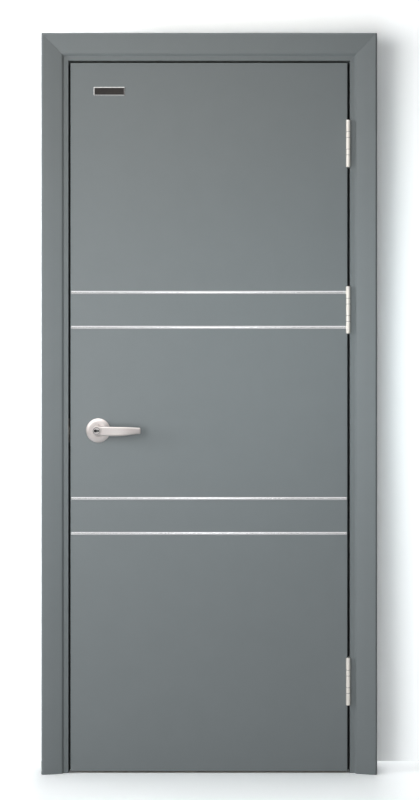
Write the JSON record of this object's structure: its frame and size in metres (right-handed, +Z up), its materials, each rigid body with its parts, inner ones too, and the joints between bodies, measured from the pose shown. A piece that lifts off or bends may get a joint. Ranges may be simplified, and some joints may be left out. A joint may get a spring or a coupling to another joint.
{
  "type": "interior door",
  "caption": "Grey ABS interior door in a mitred frame with sloping casings, inlaid metal strips, butt hinges and a keyed lever handle; the leaf swings and the lever turns.",
  "frame": {"origin": "on the hinge jamb's outer face, which lies against the wall, at floor level and halfway through the frame's depth", "axes": "+X out of the hinge jamb into the wall, +Y from the front to the back through the wall, +Z up; the leaf opens towards -Y"},
  "size_m": [0.9666, 0.192, 2.1353],
  "materials": {
    "abs_grey": "satin",
    "core_timber": "matte",
    "hinge_steel": "satin",
    "satin_nickel": "satin",
    "strip_metal": "polished",
    "seal_rubber": "matte"
  },
  "bodies": {
    "frame": {"hinge_jamb": "abs_grey", "latch_jamb": "abs_grey", "head_jamb": "abs_grey", "front_casing_hinge": "abs_grey", "front_casing_latch": "abs_grey", "front_casing_head": "abs_grey", "back_casing_hinge": "abs_grey", "back_casing_latch": "abs_grey", "back_casing_head": "abs_grey", "seal_hinge": "seal_rubber", "seal_latch": "seal_rubber", "seal_head": "seal_rubber", "strike_plate": "hinge_steel", "top_hinge_jamb_plate": "hinge_steel", "top_hinge_pin": "hinge_steel", "middle_hinge_jamb_plate": "hinge_steel", "middle_hinge_pin": "hinge_steel", "bottom_hinge_jamb_plate": "hinge_steel", "bottom_hinge_pin": "hinge_steel"},
    "leaf": {"top_hinge_leaf_plate": "hinge_steel", "middle_hinge_leaf_plate": "hinge_steel", "bottom_hinge_leaf_plate": "hinge_steel", "leaf_core": "core_timber", "front_skin": "abs_grey", "front_strip_1": "strip_metal", "front_strip_2": "strip_metal", "front_strip_3": "strip_metal", "front_strip_4": "strip_metal", "back_skin": "abs_grey", "back_strip_1": "strip_metal", "back_strip_2": "strip_metal", "back_strip_3": "strip_metal", "back_strip_4": "strip_metal", "hinge_edge_band": "abs_grey", "latch_edge_band": "abs_grey", "latch_faceplate": "hinge_steel", "latch_bolt": "hinge_steel", "front_rose": "satin_nickel", "back_rose": "satin_nickel"},
    "lever": {"front_lever": "satin_nickel", "key_cylinder": "satin_nickel", "back_lever": "satin_nickel", "turn_button": "satin_nickel", "spindle": "hinge_steel"}
  },
  "joints": [
    {"name": "leaf_swing", "type": "hinge", "parent": "frame", "child": "leaf", "pos_m": [-0.04905, -0.062, 0], "axis": [0, 0, 1], "range_deg": [0, 165]},
    {"name": "lever_turn", "type": "hinge", "parent": "leaf", "child": "lever", "pos_m": [-0.7707, -0.055, 0.99], "axis": [0, 1, 0], "range_deg": [0, 45], "stiffness_Nm_per_rad": 2, "springref_deg": -28.65}
  ]
}
